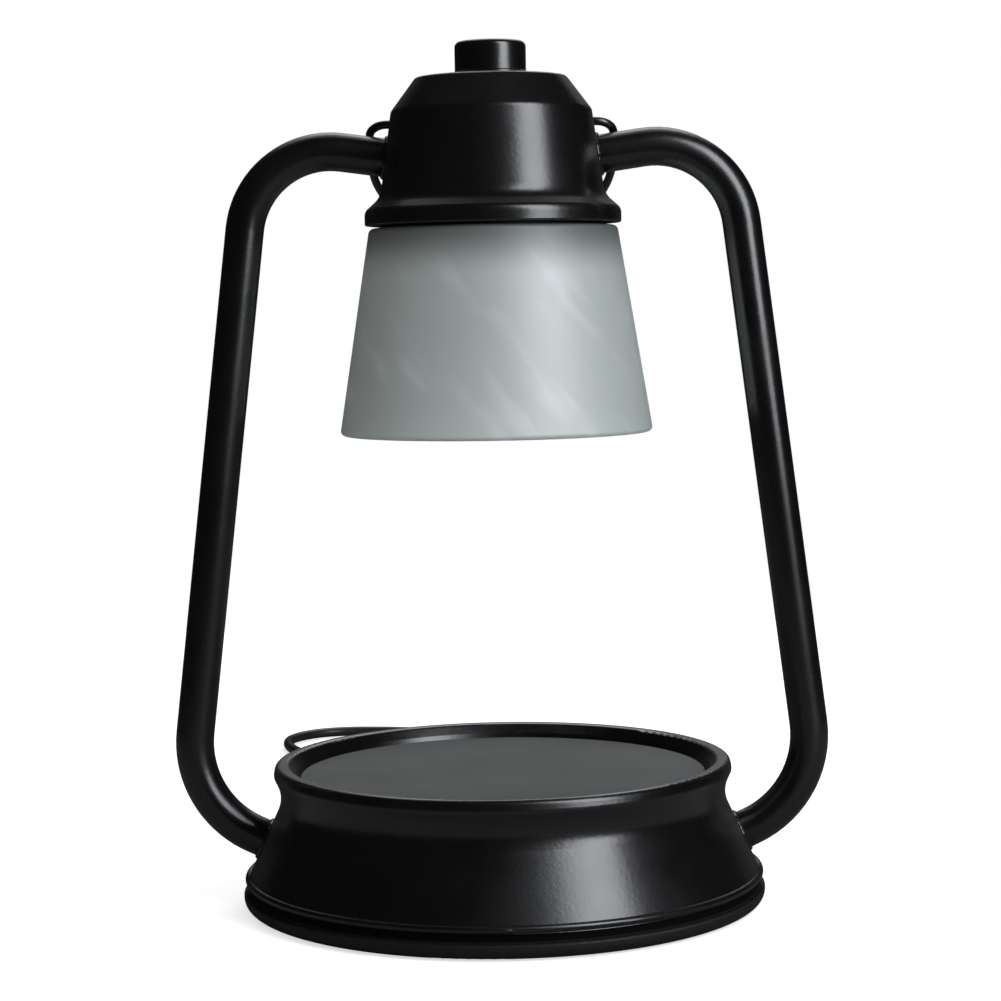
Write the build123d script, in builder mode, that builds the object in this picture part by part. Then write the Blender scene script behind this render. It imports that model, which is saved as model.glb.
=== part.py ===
from build123d import *
import os
from math import asin, atan2, cos, degrees, pi, radians, sin, sqrt, tan

# Lantern-shaped candle warmer lamp.
#
# A candle jar stands on the round plate of the base, and a downward halogen bulb in a frosted glass
# shade melts its wax from above. Two bent tubes carry the lamp head over the base, and the left one
# brings the wires up. The knob on the head turns the dimmer, and a wire bail carries the lamp.
#
# Millimetres, +Z up, arms along X, cord at the back (+Y). The origin is the centre of the foot ring's
# underside, so the lamp stands on Z = 0.

# ---------------------------------------------------------------- stock and fits
sheet = 1.2  # spun steel of the base and of the head
running_fit = 0.06  # radial clearance of a turning shaft or wire in its hole
hole_play = 0.2  # radial clearance of a screw or stud in a plain hole
seat_play = 0.05  # air behind a flat piece that seats on a round wall
travel_gap = 0.4  # air between a moving piece and what it passes

# ---------------------------------------------------------------- base
cone_foot_radius = 81.1  # lower edge of the shell
foot_lip = 1.1  # how far the foot ring stands out past the shell
foot_width = 12.2
foot_height = 4.6
foot_rounding = 3.4
foot_edge = 0.6
groove_height = 3.0  # shadow groove between the foot ring and the shell
groove_depth = 0.7
cover_sheet = 1.2
hem_radius = 1.2
neck_inset = 12.2  # from the shell's lower edge in to where the cone would meet the flare of the rim
neck_drop = 6.8  # from the rim's bead down to there
neck_bend = 11.0
rim_flare = 3.3  # from there out to the rim
rim_height = 44.5
rim_bead = 3.5  # height of the rim's outer side
rim_taper = 0.7
rim_crest = 4.0  # width of the crest
rim_bends = (2.4, 1.8, 1.5)  # below the bead, over it and inside the crest
rim_slope = 2.1  # width of the sloping ring inside the crest
rim_slope_depth = 3.1
well_rebate = 1.0  # from the sloping ring in to the wall of the well
well_bend = 0.6
ledge_lap = 0.3  # how far the ledge that carries the plate reaches in past the cover's posts
plate_recess = 4.2  # from the rim's crest down to the plate
plate_thickness = 2.0
plate_edge = 0.6
plate_play = 0.5

# ---------------------------------------------------------------- arms
tube_radius = 6.0
tube_wall = 1.0
arm_base_height = 20.0  # centre of the tube on the base cone
arm_drop = 13.9  # from the top of the head's wall down to the centre of the tube
shoulder_reach = 34.0  # from the head's flange out to the upper corner of the tube's centreline
foot_reach = 18.5  # from the shell's lower edge out to the lower corner of the tube's centreline
shoulder_bend = 27.0
foot_straight = 3.2  # straight stretch between the base cone and the lower bend
arm_dip = 3.0  # how far the tube runs into each wall before it is coped

# ---------------------------------------------------------------- studs, nuts and screws
stud_radius = 4.0
stud_bore = 2.6  # the lead's way through the stud
stud_proud = 1.5  # past the nut
nut_flats = 12.0
nut_height = 3.0
washer_radius = 6.5
washer = 1.0
post_radius = 3.5
post_inset = 9.7  # from the foot ring's bore in to the centres of the posts
screw_radius = 2.0
screw_head_radius = 3.6
screw_head = 2.2
screw_grip = 9.0
small_screw_radius = 1.5
small_head_radius = 2.7
small_head = 1.6
head_taper = 12.0  # degrees, on every screw head

# ---------------------------------------------------------------- head
head_top = 257.6
crown_radius = 23.4
crown_rounding = 1.5
chamfer_height = 10.4
chamfer_width = 7.8
wall_rounding = 2.5
wall_length = 26.2
wall_taper = 3.7  # how much wider the wall is at its foot
flare_bend = 7.0
flare_height = 4.4
flange_width = 5.0  # from the wall's foot out to the flange's edge
flange_rounding = 3.0
flange_skirt = 4.4

# ---------------------------------------------------------------- glass shade
shade_inset = 1.3  # from the flange's edge in to the glass
shade_shoulder = 4.0
shade_flare = 10.3  # how much wider the glass is at its mouth
shade_length = 64.1
glass = 3.0
gasket = 0.8
lip_width = 4.7  # flat lip of the glass, from its shoulder in to the collar
collar_wall = 2.0
collar_drop = 8.8
gallery_sheet = 1.5
lip_play = 0.5
ring_width = 4.1
ring_height = 4.5

# ---------------------------------------------------------------- lamp bracket and holder
strip = 1.5
strip_width = 14.0
bracket_drop = 16.1  # from the crown down to the top of the bracket
bracket_leg = 19.5
holder_radius = 13.0
holder_height = 14.0
holder_screw_pitch = 17.0
holder_screw_grip = 8.0

# ---------------------------------------------------------------- bulb
bulb_radius = 25.0
bulb_length = 53.0
bulb_neck_radius = 9.8
bulb_neck_length = 13.0
bulb_wall = 1.3
lens_thickness = 1.8
capsule_radius = 4.5
capsule_length = 24.0
pin_pitch = 10.0
pin_radius = 1.5
pin_foot_radius = 2.4
pin_foot = 2.0
pin_length = 7.0
pin_play = 0.3

# ---------------------------------------------------------------- dimmer and knob
dimmer_width = 22.0
dimmer_depth = 18.0
dimmer_height = 11.0
bushing_radius = 3.5
bushing_height = 3.4  # above the crown
dimmer_washer = 0.5
dimmer_washer_radius = 5.2
dimmer_nut = 2.0
dimmer_nut_flats = 10.0
shaft_radius = 3.0
shaft_flat = 1.5  # depth of the D flat
shaft_inside = 5.0  # below the crown's sheet
shaft_height = 9.0  # above the crown
knob_radius = 11.05
knob_height = 10.9  # above the crown
knob_rounding = 1.8
knob_cavity = 7.0
knob_lip = 0.35
knob_lip_height = 1.4

# ---------------------------------------------------------------- wire bail
wire_radius = 1.3
bail_drop = 3.7  # from the top of the head's wall down to the pivot holes
bail_inset = 1.9  # from the flange's edge in to the bail's legs
bail_leg = 20.0
bail_corner = 5.5
bail_grip = 4.2  # how far the wire's ends reach into the head, from the top of its wall
bail_rest_gap = 0.35

# ---------------------------------------------------------------- inside the base
weight_gap = 6.5  # from the weight out to the shell's ledge
weight_inner = 24.0
weight_chamfer = 0.8
weight_screw_angle = 25.0
block_width = 24.0
block_depth = 16.0
block_height = 14.0
block_rounding = 1.2
lead_entry = 4.0  # how far each lead reaches into the junction block
lead_level = 15.0  # height of the leads' centres inside the base
lead_radius = 1.8
lead_bend = 12.0
channel_play = 1.5
clamp_length = 22.0
clamp_width = 6.0
clamp_sheet = 2.0
clamp_boss = 1.0  # from the cord up to the top of the weight
clamp_inset = 6.0  # from the weight's edge in to the middle of the clamp
terminal_screw_radius = 1.9
terminal_screw_height = 3.0
terminal_pocket = 3.5
terminal_pitch = (14.0, 8.0)

# ---------------------------------------------------------------- strain relief and cord
cord_radius = 2.0
relief_length = 26.0  # from the shell's wall to the tip of the boot
relief_tip_radius = 2.8
relief_root_radius = 4.4
relief_neck_radius = 4.6
relief_flange_radius = 6.2
relief_flange = 1.6
cord_run_out = 14.8  # straight stretch past the boot's tip
floor_gap = 0.1
coil_centre = (-40.0, 165.0)
coil_radius = 22.0
bundle_radius = 6.0
tie_wall = 0.7
tie_width = 8.0
tie_angle = 230.0
route_share = 0.45  # share of the shorter run that a corner's arc may use

# ---------------------------------------------------------------- plug
plug_width = 22.0
plug_length = 27.0
plug_thickness = 14.0
plug_rounding = 3.0
neck_length = 12.0
neck_tip_radius = 2.9
neck_root_radius = 4.6
blade_width = 6.35
blade_length = 17.5
blade_thickness = 1.5
blade_pitch = 12.7
blade_root = 6.0  # inside the plug's body

# ---------------------------------------------------------------- worked out from the above
foot_radius = cone_foot_radius + foot_lip
foot_bore = foot_radius - foot_width
cover_radius = cone_foot_radius - groove_depth
shell_bottom = foot_height + groove_height
cover_top = foot_height + cover_sheet
neck_height = rim_height - rim_bead - neck_drop
cone_lean = atan2(neck_inset, neck_height - shell_bottom)
neck_radius = cone_foot_radius - neck_inset
rim_radius = neck_radius + rim_flare
crest_outer = rim_radius - rim_taper
crest_inner = crest_outer - rim_crest
slope_foot = crest_inner - rim_slope
slope_foot_height = rim_height - rim_slope_depth
well_radius = slope_foot - well_rebate
plate_top = rim_height - plate_recess
well_floor = plate_top - plate_thickness
well_underside = well_floor - sheet
post_circle = foot_bore - post_inset
ledge_radius = post_circle - post_radius - ledge_lap
weight_outer = ledge_radius - weight_gap
weight_circle = (weight_inner + weight_outer) / 2
clamp_place = weight_outer - clamp_inset

crown_inside = head_top - sheet
wall_top = head_top - chamfer_height
wall_top_radius = crown_radius + chamfer_width
wall_foot = wall_top - wall_length
wall_foot_radius = wall_top_radius + wall_taper
wall_lean = atan2(wall_taper, wall_length)
flange_radius = wall_foot_radius + flange_width
flange_inside = flange_radius - sheet
flange_shoulder = wall_foot - flare_height
flange_bottom = flange_shoulder - flange_skirt
arm_head_height = wall_top - arm_drop
arm_shoulder = flange_radius + shoulder_reach
arm_foot = cone_foot_radius + foot_reach
bail_height = wall_top - bail_drop
bail_half_width = flange_radius - bail_inset
bail_reach = bail_half_width + bail_leg
bail_inside = wall_top_radius - bail_grip

shade_top_radius = flange_radius - shade_inset
shade_mouth_radius = shade_top_radius + shade_flare
shade_top = flange_bottom - gasket
shade_bottom = shade_top - shade_length
shade_lean = atan2(shade_flare, shade_length)
collar_radius = shade_top_radius - shade_shoulder - lip_width
bracket_top = head_top - bracket_drop
holder_top = bracket_top - strip
holder_face = holder_top - holder_height
bulb_front = holder_face - bulb_length
bushing_top = head_top + bushing_height
knob_bottom = head_top + travel_gap
weight_top = lead_level + cord_radius + clamp_boss
weight_height = weight_top - cover_top
block_top = cover_top + block_height
tube_bore = tube_radius - tube_wall
floor = floor_gap + cord_radius
coil_level = floor_gap + tie_wall + bundle_radius
plug_level = floor_gap + plug_thickness / 2


def cone_radius(height):
    """Outer radius of the base cone at a height."""
    return cone_foot_radius - (height - shell_bottom) * tan(cone_lean)


def wall_radius(height):
    """Outer radius of the head's wall at a height."""
    return wall_top_radius + (wall_top - height) * tan(wall_lean)


def stand_off(radius, half_width):
    """How far the middle of a flat piece stands off the inside of a round wall."""
    return radius - sqrt(radius**2 - half_width**2) + seat_play


def head_port(side):
    """Plane where an arm lands on the head's wall, facing out along the arm."""
    origin = (side * wall_radius(arm_head_height), 0, arm_head_height)
    return Plane(origin=origin, x_dir=(0, side, 0), z_dir=(side * cos(wall_lean), 0, sin(wall_lean)))


def base_port(side):
    """Plane where an arm lands on the base cone, facing out along the arm."""
    origin = (side * cone_radius(arm_base_height), 0, arm_base_height)
    return Plane(origin=origin, x_dir=(0, side, 0), z_dir=(side * cos(cone_lean), 0, sin(cone_lean)))


def outline(corners):
    """Closed outline through (across, up, rounding) corners."""
    places = [(across, up) for across, up, _ in corners]
    FilletPolyline(*places, radius=[rounding for *_, rounding in corners], close=True)


def turned(corners):
    """Add the solid of revolution about Z of an outline given by its (radius, height, rounding) corners."""
    with BuildSketch(Plane.XZ) as section:
        with BuildLine():
            outline(corners)
        make_face()
    revolve(section.sketch)


def ring(plane, near, far, outer, inner=0.0):
    """Add a disc or ring that reaches from near to far along the plane's normal."""
    with BuildSketch(plane.offset(near)) as section:
        Circle(outer)
        if inner:
            Circle(inner, mode=Mode.SUBTRACT)
    extrude(section.sketch, amount=far - near)


def bore(plane, near, far, radius):
    """Cut a round hole from near to far along the plane's normal."""
    with BuildSketch(plane.offset(near)) as section:
        Circle(radius)
    extrude(section.sketch, amount=far - near, mode=Mode.SUBTRACT)


def hex_nut(plane, near, height, flats, hole):
    """Add a hexagon nut that starts at near along the plane's normal."""
    with BuildSketch(plane.offset(near)) as section:
        RegularPolygon(flats / 2, 6, major_radius=False)
        Circle(hole, mode=Mode.SUBTRACT)
    extrude(section.sketch, amount=height)


def screw(plane, grip, shank, head_radius, head_height):
    """Add a screw whose head sits on the plane and whose shank goes back from it by its grip."""
    ring(plane, -grip, 0, shank)
    with BuildSketch(plane) as section:
        Circle(head_radius)
    extrude(section.sketch, amount=head_height, taper=head_taper)


def facing(across, back, up, direction=(0, 0, 1)):
    """Plane at a place, facing a direction, with its own X along the row's X where it can be."""
    x_dir = (0, 1, 0) if abs(direction[0]) > 0.5 else (1, 0, 0)
    return Plane(origin=(across, back, up), x_dir=x_dir, z_dir=direction)


os.makedirs("parts", exist_ok=True)

# ================================================================ base shell
# Spun from one sheet: cone, concave neck, rolled rim, sloping ring, and a well whose ledge carries the
# plate. The hem is rolled round a wire.
base_outline = [
    (cone_foot_radius, shell_bottom, 0),
    (neck_radius, neck_height, neck_bend),
    (rim_radius, rim_height - rim_bead, rim_bends[0]),
    (crest_outer, rim_height, rim_bends[1]),
    (crest_inner, rim_height, rim_bends[2]),
    (slope_foot, slope_foot_height, well_bend),
]
beyond = 20.0  # how far an outline runs past the sheet's ends before they are trimmed
back_port = Plane(
    origin=(0, cone_radius(lead_level), lead_level),
    x_dir=(1, 0, 0),
    z_dir=(0, cos(cone_lean), sin(cone_lean)),
)

with BuildPart() as base_envelope:
    turned(base_outline + [(0, slope_foot_height, 0), (0, shell_bottom, 0)])

with BuildPart() as base_shell:
    with BuildSketch(Plane.XZ):
        with BuildLine():
            outline(
                base_outline
                + [
                    (well_radius, well_floor, well_bend),
                    (-beyond, well_floor, 0),
                    (-beyond, shell_bottom - beyond, 0),
                    (cone_foot_radius + beyond * tan(cone_lean), shell_bottom - beyond, 0),
                ]
            )
        make_face()
        offset(amount=-sheet, kind=Kind.INTERSECTION, mode=Mode.SUBTRACT)
        with Locations((ledge_radius, shell_bottom)):
            Rectangle(4 * foot_radius, 4 * beyond, align=(Align.CENTER, Align.MAX), mode=Mode.SUBTRACT)
            Rectangle(2 * foot_radius, 4 * foot_radius, align=(Align.MAX, Align.CENTER), mode=Mode.SUBTRACT)
        with Locations((cone_foot_radius - hem_radius / 2, shell_bottom + hem_radius)):
            Circle(hem_radius)
    revolve()
    for side in (-1, 1):
        bore(base_port(side), -4 * sheet, sheet, stud_radius + hole_play)
    bore(back_port, -4 * sheet, sheet, relief_neck_radius)
base_shell.part.label = "base_shell"
export_step(base_shell.part, "parts/base_shell.step")

# ================================================================ top plate
# Pressed disc that lies on the ledge of the well. The candle jar stands on it.
with BuildPart() as top_plate:
    ring(facing(0, 0, well_floor), 0, plate_thickness, well_radius - plate_play)
    fillet(top_plate.edges().group_by(Axis.Z)[-1], plate_edge)
top_plate.part.label = "top_plate"
export_step(top_plate.part, "parts/top_plate.step")

# ================================================================ bottom cover
# Shallow pressed pan. Its skirt meets the hem of the shell and shows as the groove over the foot ring.
with BuildPart() as bottom_cover:
    ring(facing(0, 0, foot_height), 0, groove_height, cover_radius)
    bore(facing(0, 0, cover_top), 0, groove_height, cover_radius - cover_sheet)
    with PolarLocations(post_circle, 4, start_angle=45):
        Hole(screw_radius + hole_play)
    with PolarLocations(weight_circle, 2, start_angle=weight_screw_angle):
        Hole(screw_radius + hole_play)
    Hole(small_screw_radius)
bottom_cover.part.label = "bottom_cover"
export_step(bottom_cover.part, "parts/bottom_cover.step")

# ================================================================ foot ring
with BuildPart() as foot_ring:
    turned(
        [
            (foot_bore, 0, foot_edge),
            (foot_radius, 0, foot_rounding),
            (foot_radius, foot_height, foot_edge),
            (foot_bore, foot_height, foot_edge),
        ]
    )
foot_ring.part.label = "foot_ring"
export_step(foot_ring.part, "parts/foot_ring.step")

# ================================================================ cover posts and cover screws
# Four tapped posts under the ledge carry the bottom cover. Two more of the same screws hold the weight.
with BuildPart() as cover_posts:
    with BuildSketch(Plane.XY.offset(cover_top)):
        with PolarLocations(post_circle, 4, start_angle=45):
            Circle(post_radius)
    extrude(amount=well_underside - cover_top)
    with BuildSketch(Plane.XY.offset(cover_top)):
        with PolarLocations(post_circle, 4, start_angle=45):
            Circle(screw_radius)
    extrude(amount=screw_grip - cover_sheet, mode=Mode.SUBTRACT)
cover_posts.part.label = "cover_posts"
export_step(cover_posts.part, "parts/cover_posts.step")

post_places = PolarLocations(post_circle, 4, start_angle=45)
weight_places = PolarLocations(weight_circle, 2, start_angle=weight_screw_angle)
with BuildPart() as cover_screws:
    for place in [*post_places, *weight_places]:
        screw(
            facing(place.position.X, place.position.Y, foot_height, (0, 0, -1)),
            screw_grip,
            screw_radius,
            screw_head_radius,
            screw_head,
        )
cover_screws.part.label = "cover_screws"
export_step(cover_screws.part, "parts/cover_screws.step")

# ================================================================ counterweight
# Cast ring that keeps the tall lamp from tipping. Channels let the cord and the lamp lead pass.
channels = [(90, cord_radius), (180, lead_radius)]
with BuildPart() as counterweight:
    ring(facing(0, 0, cover_top), 0, weight_height, weight_outer, weight_inner)
    chamfer(counterweight.edges().group_by(Axis.Z)[-1], weight_chamfer)
    for angle, radius in channels:
        with BuildSketch(Plane.XY.offset(lead_level - radius)):
            with Locations(Location((0, 0, 0), (0, 0, angle))):
                Rectangle(
                    2 * weight_outer,
                    2 * (radius + channel_play),
                    align=(Align.MIN, Align.CENTER),
                )
        extrude(amount=weight_height, mode=Mode.SUBTRACT)
    with BuildSketch(Plane.XY.offset(cover_top)):
        with PolarLocations(weight_circle, 2, start_angle=weight_screw_angle):
            Circle(screw_radius)
    extrude(amount=screw_grip - cover_sheet, mode=Mode.SUBTRACT)
    with BuildSketch(Plane.XY.offset(weight_top)):
        with Locations((0, clamp_place)):
            with GridLocations(clamp_length - clamp_width, 1, 2, 1):
                Circle(small_screw_radius)
    extrude(amount=-weight_height / 2, mode=Mode.SUBTRACT)
counterweight.part.label = "counterweight"
export_step(counterweight.part, "parts/counterweight.step")

# ================================================================ cord clamp
# Bar over the cord's channel, with a boss that presses on the cord, and its two screws.
with BuildPart() as cord_clamp:
    with BuildSketch(Plane.XY.offset(weight_top)):
        with Locations((0, clamp_place)):
            SlotOverall(clamp_length, clamp_width)
            with GridLocations(clamp_length - clamp_width, 1, 2, 1):
                Circle(small_screw_radius, mode=Mode.SUBTRACT)
    extrude(amount=clamp_sheet)
    with BuildSketch(Plane.XY.offset(lead_level + cord_radius)):
        with Locations((0, clamp_place)):
            Rectangle(2 * cord_radius, clamp_width)
    extrude(amount=clamp_boss)
cord_clamp.part.label = "cord_clamp"
export_step(cord_clamp.part, "parts/cord_clamp.step")

with BuildPart() as clamp_screws:
    for side in (-1, 1):
        screw(
            facing(side * (clamp_length - clamp_width) / 2, clamp_place, weight_top + clamp_sheet),
            clamp_sheet + weight_height / 2,
            small_screw_radius,
            small_head_radius,
            small_head,
        )
clamp_screws.part.label = "clamp_screws"
export_step(clamp_screws.part, "parts/clamp_screws.step")

# ================================================================ junction block
# Joins the cord to the lamp lead. A screw through its middle holds it down on the cover.
with BuildPart() as junction_block:
    with Locations((0, 0, cover_top)):
        Box(block_width, block_depth, block_height, align=(Align.CENTER, Align.CENTER, Align.MIN))
    fillet(junction_block.edges().filter_by(Axis.Z), block_rounding)
    bore(facing(0, block_depth / 2, lead_level, (0, 1, 0)), -lead_entry, 0, cord_radius)
    bore(facing(-block_width / 2, 0, lead_level, (-1, 0, 0)), -lead_entry, 0, lead_radius)
    with BuildSketch(Plane.XY.offset(block_top)):
        with GridLocations(*terminal_pitch, 2, 2):
            Circle(terminal_screw_radius + hole_play)
    extrude(amount=-terminal_pocket, mode=Mode.SUBTRACT)
    bore(facing(0, 0, cover_top), 0, block_height, small_screw_radius + hole_play)
junction_block.part.label = "junction_block"
export_step(junction_block.part, "parts/junction_block.step")

with BuildPart() as terminal_screws:
    with BuildSketch(Plane.XY.offset(block_top - terminal_pocket)):
        with GridLocations(*terminal_pitch, 2, 2):
            Circle(terminal_screw_radius)
    extrude(amount=terminal_screw_height)
    with BuildSketch(Plane.XY.offset(block_top - terminal_pocket + terminal_screw_height)):
        with GridLocations(*terminal_pitch, 2, 2):
            Rectangle(3 * terminal_screw_radius, terminal_screw_radius / 3)
    extrude(amount=-terminal_screw_height / 3, mode=Mode.SUBTRACT)
terminal_screws.part.label = "terminal_screws"
export_step(terminal_screws.part, "parts/terminal_screws.step")

with BuildPart() as block_screw:
    screw(
        facing(0, 0, block_top),
        block_height + cover_sheet,
        small_screw_radius,
        small_head_radius,
        small_head,
    )
block_screw.part.label = "block_screw"
export_step(block_screw.part, "parts/block_screw.step")

# ================================================================ strain relief and supply lead
# Moulded bush that grips both faces of the shell's sheet, with a tapered boot round the cord. The
# supply lead is the cord's own stretch inside the base, from the junction block to the boot's tip.
exit_place = cone_radius(lead_level) + relief_length
cord_axis = facing(0, 0, lead_level, (0, 1, 0))
with BuildPart() as strain_relief:
    ring(back_port, -sheet - relief_flange, relief_flange, relief_flange_radius)
    fillet(strain_relief.edges().filter_by(GeomType.CIRCLE), relief_flange / 3)
    with BuildSketch(cord_axis.offset(cone_radius(lead_level) - relief_flange)):
        Circle(relief_root_radius)
    with BuildSketch(cord_axis.offset(exit_place)):
        Circle(relief_tip_radius)
    loft()
    add(base_shell.part, mode=Mode.SUBTRACT)
    bore(cord_axis, 0, exit_place, cord_radius)
strain_relief.part.label = "strain_relief"
export_step(strain_relief.part, "parts/strain_relief.step")

with BuildPart() as supply_lead:
    ring(cord_axis, block_depth / 2 - lead_entry, exit_place, cord_radius)
supply_lead.part.label = "supply_lead"
export_step(supply_lead.part, "parts/supply_lead.step")

# ================================================================ head housing
# Spun steel hood: flat crown, long chamfer, tapered wall and the flared flange over the glass.
head_outline = [
    (wall_top_radius, wall_top, wall_rounding),
    (wall_foot_radius, wall_foot, flare_bend),
    (flange_radius, flange_shoulder, flange_rounding),
]
with BuildPart() as head_envelope:
    turned(
        [(0, head_top, 0), (crown_radius, head_top, crown_rounding)]
        + head_outline
        + [(flange_radius, flange_bottom, 0), (0, flange_bottom, 0)]
    )

with BuildPart() as head_housing:
    with BuildSketch(Plane.XZ):
        with BuildLine():
            outline(
                [(-beyond, head_top, 0), (crown_radius, head_top, crown_rounding)]
                + head_outline
                + [(flange_radius, flange_bottom - beyond, 0), (-beyond, flange_bottom - beyond, 0)]
            )
        make_face()
        offset(amount=-sheet, kind=Kind.INTERSECTION, mode=Mode.SUBTRACT)
        with Locations((0, flange_bottom)):
            Rectangle(4 * flange_radius, 4 * beyond, align=(Align.CENTER, Align.MAX), mode=Mode.SUBTRACT)
            Rectangle(4 * beyond, 4 * flange_radius, align=(Align.MAX, Align.CENTER), mode=Mode.SUBTRACT)
    revolve()
    fillet(head_housing.edges().group_by(Axis.Z)[0].sort_by(SortBy.RADIUS)[-1], sheet / 2)
    bore(facing(0, 0, crown_inside), -sheet, 2 * sheet, bushing_radius + hole_play)
    for side in (-1, 1):
        bore(head_port(side), -4 * sheet, sheet, stud_radius + hole_play)
        bore(
            facing(side * bail_inside, 0, bail_height, (side, 0, 0)),
            0,
            bail_half_width - bail_inside,
            wire_radius + running_fit,
        )
head_housing.part.label = "head_housing"
export_step(head_housing.part, "parts/head_housing.step")

# ================================================================ arms
# Each arm is one bent tube. It lands square on the base cone and on the head's wall, and its ends are
# coped to them.
foot_run = (arm_foot - cone_radius(arm_base_height)) / cos(cone_lean)
foot_corner = (arm_foot, arm_base_height + foot_run * sin(cone_lean))
shoulder_corner = (
    arm_shoulder,
    arm_head_height + (arm_shoulder - wall_radius(arm_head_height)) * tan(wall_lean),
)
arm_lean = atan2(arm_foot - arm_shoulder, shoulder_corner[1] - foot_corner[1])
foot_turn = pi / 2 + arm_lean - cone_lean
foot_bend = (foot_run - foot_straight) / tan(foot_turn / 2)


def below_port(depth):
    """Place on the arm's centreline this far inside the base cone."""
    return (
        cone_radius(arm_base_height) - depth * cos(cone_lean),
        arm_base_height - depth * sin(cone_lean),
    )


def past_port(depth):
    """Place on the arm's centreline this far inside the head's wall."""
    return (
        wall_radius(arm_head_height) - depth * cos(wall_lean),
        arm_head_height - depth * sin(wall_lean),
    )


for side, name in ((-1, "left_arm"), (1, "right_arm")):
    corners = [below_port(arm_dip), foot_corner, shoulder_corner, past_port(arm_dip)]
    with BuildPart() as arm:
        with BuildLine(Plane.XZ) as centreline:
            FilletPolyline(
                *[(side * across, up) for across, up in corners],
                radius=[foot_bend, shoulder_bend],
            )
        with BuildSketch(Plane(origin=centreline.line @ 0, z_dir=centreline.line % 0)):
            Circle(tube_radius)
            Circle(tube_bore, mode=Mode.SUBTRACT)
        sweep()
        add(base_envelope.part, mode=Mode.SUBTRACT)
        add(head_envelope.part, mode=Mode.SUBTRACT)
    arm.part.label = name
    export_step(arm.part, f"parts/{name}.step")

# ================================================================ studs, washers and nuts of the arms
# A hollow stud is welded into each tube end and goes through the wall, where a washer and a nut hold it.
bracket_seat = sheet + stand_off(wall_radius(arm_head_height) - sheet, strip_width / 2)
head_washer_seat = bracket_seat + strip
base_washer_seat = sheet + stand_off(cone_radius(arm_base_height) - sheet, washer_radius)
joints = {
    "head": (head_port, head_washer_seat),
    "base": (base_port, base_washer_seat),
}
for end, (port, washer_seat) in joints.items():
    nut_seat = washer_seat + washer
    with BuildPart() as studs:
        for side in (-1, 1):
            ring(port(side), -nut_seat - nut_height - stud_proud, foot_straight, stud_radius)
            ring(port(side), 0, foot_straight, tube_bore)
            bore(port(side), -nut_seat - nut_height - stud_proud, foot_straight, stud_bore)
    studs.part.label = f"{end}_studs"
    export_step(studs.part, f"parts/{end}_studs.step")

    with BuildPart() as washers:
        for side in (-1, 1):
            ring(port(side), -nut_seat, -washer_seat, washer_radius, stud_radius + hole_play)
    washers.part.label = f"{end}_washers"
    export_step(washers.part, f"parts/{end}_washers.step")

    with BuildPart() as nuts:
        for side in (-1, 1):
            hex_nut(port(side), -nut_seat - nut_height, nut_height, nut_flats, stud_radius)
    nuts.part.label = f"{end}_nuts"
    export_step(nuts.part, f"parts/{end}_nuts.step")

# ================================================================ lamp bracket
# Bent strip that hangs on the two head studs and carries the lamp holder.
def leg_face(height):
    """X of the outer face of the bracket's leg at a height."""
    return wall_radius(height) - bracket_seat / cos(wall_lean)


bracket_foot = bracket_top - bracket_leg
strip_across = strip / cos(wall_lean)
with BuildPart() as lamp_bracket:
    with BuildSketch(Plane.XZ):
        with BuildLine():
            outline(
                [
                    (-leg_face(bracket_foot), bracket_foot, 0),
                    (-leg_face(bracket_top), bracket_top, 2.0),
                    (leg_face(bracket_top), bracket_top, 2.0),
                    (leg_face(bracket_foot), bracket_foot, 0),
                    (leg_face(bracket_foot) - strip_across, bracket_foot, 0),
                    (leg_face(holder_top) - strip_across, holder_top, 0.5),
                    (-leg_face(holder_top) + strip_across, holder_top, 0.5),
                    (-leg_face(bracket_foot) + strip_across, bracket_foot, 0),
                ]
            )
        make_face()
    extrude(amount=strip_width / 2, both=True)
    ring(facing(0, 0, holder_top), 0, strip, holder_radius)
    bore(facing(0, 0, holder_top), 0, strip, 2 * lead_radius)
    for side in (-1, 1):
        bore(head_port(side), -head_washer_seat - strip, 0, stud_radius + hole_play)
        bore(
            facing(0, side * holder_screw_pitch / 2, holder_top),
            0,
            strip,
            small_screw_radius + hole_play,
        )
lamp_bracket.part.label = "lamp_bracket"
export_step(lamp_bracket.part, "parts/lamp_bracket.step")

# ================================================================ lamp holder
# Ceramic twist-lock holder, screwed up against the bracket.
with BuildPart() as lamp_holder:
    ring(facing(0, 0, holder_face), 0, holder_height, holder_radius)
    chamfer(lamp_holder.edges().group_by(Axis.Z)[0], 1.0)
    for side in (-1, 1):
        bore(
            facing(side * pin_pitch / 2, 0, holder_face),
            0,
            pin_length + pin_play,
            pin_foot_radius + pin_play,
        )
        bore(
            facing(0, side * holder_screw_pitch / 2, holder_top, (0, 0, -1)),
            0,
            holder_screw_grip - strip,
            small_screw_radius,
        )
lamp_holder.part.label = "lamp_holder"
export_step(lamp_holder.part, "parts/lamp_holder.step")

with BuildPart() as holder_screws:
    for side in (-1, 1):
        screw(
            facing(0, side * holder_screw_pitch / 2, bracket_top),
            holder_screw_grip,
            small_screw_radius,
            small_head_radius,
            small_head,
        )
holder_screws.part.label = "holder_screws"
export_step(holder_screws.part, "parts/holder_screws.step")

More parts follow.
